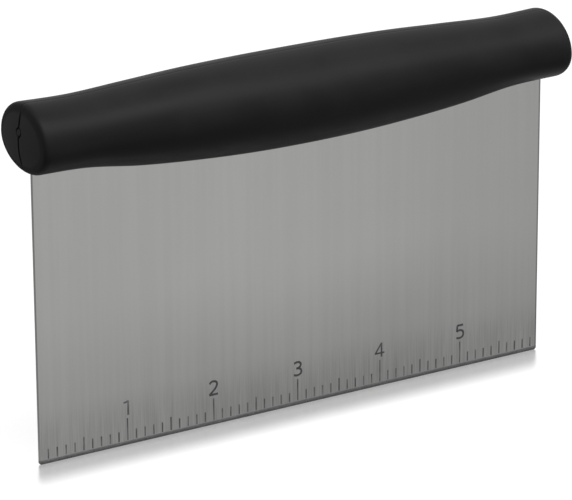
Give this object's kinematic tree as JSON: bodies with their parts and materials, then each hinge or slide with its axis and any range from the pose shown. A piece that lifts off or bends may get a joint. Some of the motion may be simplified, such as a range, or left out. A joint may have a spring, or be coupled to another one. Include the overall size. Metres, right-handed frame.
{
  "type": "dough scraper",
  "caption": "Bench scraper with a rectangular stainless blade, ground edge and engraved inch scale, under a full-width soft-grip handle.",
  "frame": {"origin": "below the middle of the blade, on the plane that its cutting edge stands on", "axes": "+X along the cutting edge, towards the scale's high end; +Y through the sheet, away from the face with the scale; +Z from the cutting edge up to the handle"},
  "size_m": [0.1584, 0.0292, 0.0968],
  "materials": {
    "stainless_sheet": "satin, fine vertical brush grain",
    "core_plastic": "as moulded, never seen",
    "soft_grip": "matte soft-touch thermoplastic rubber",
    "scale_mark": "dark etched mark"
  },
  "bodies": {
    "root": {"blade": "stainless_sheet", "handle_core": "core_plastic", "grip": "soft_grip"}
  },
  "joints": []
}
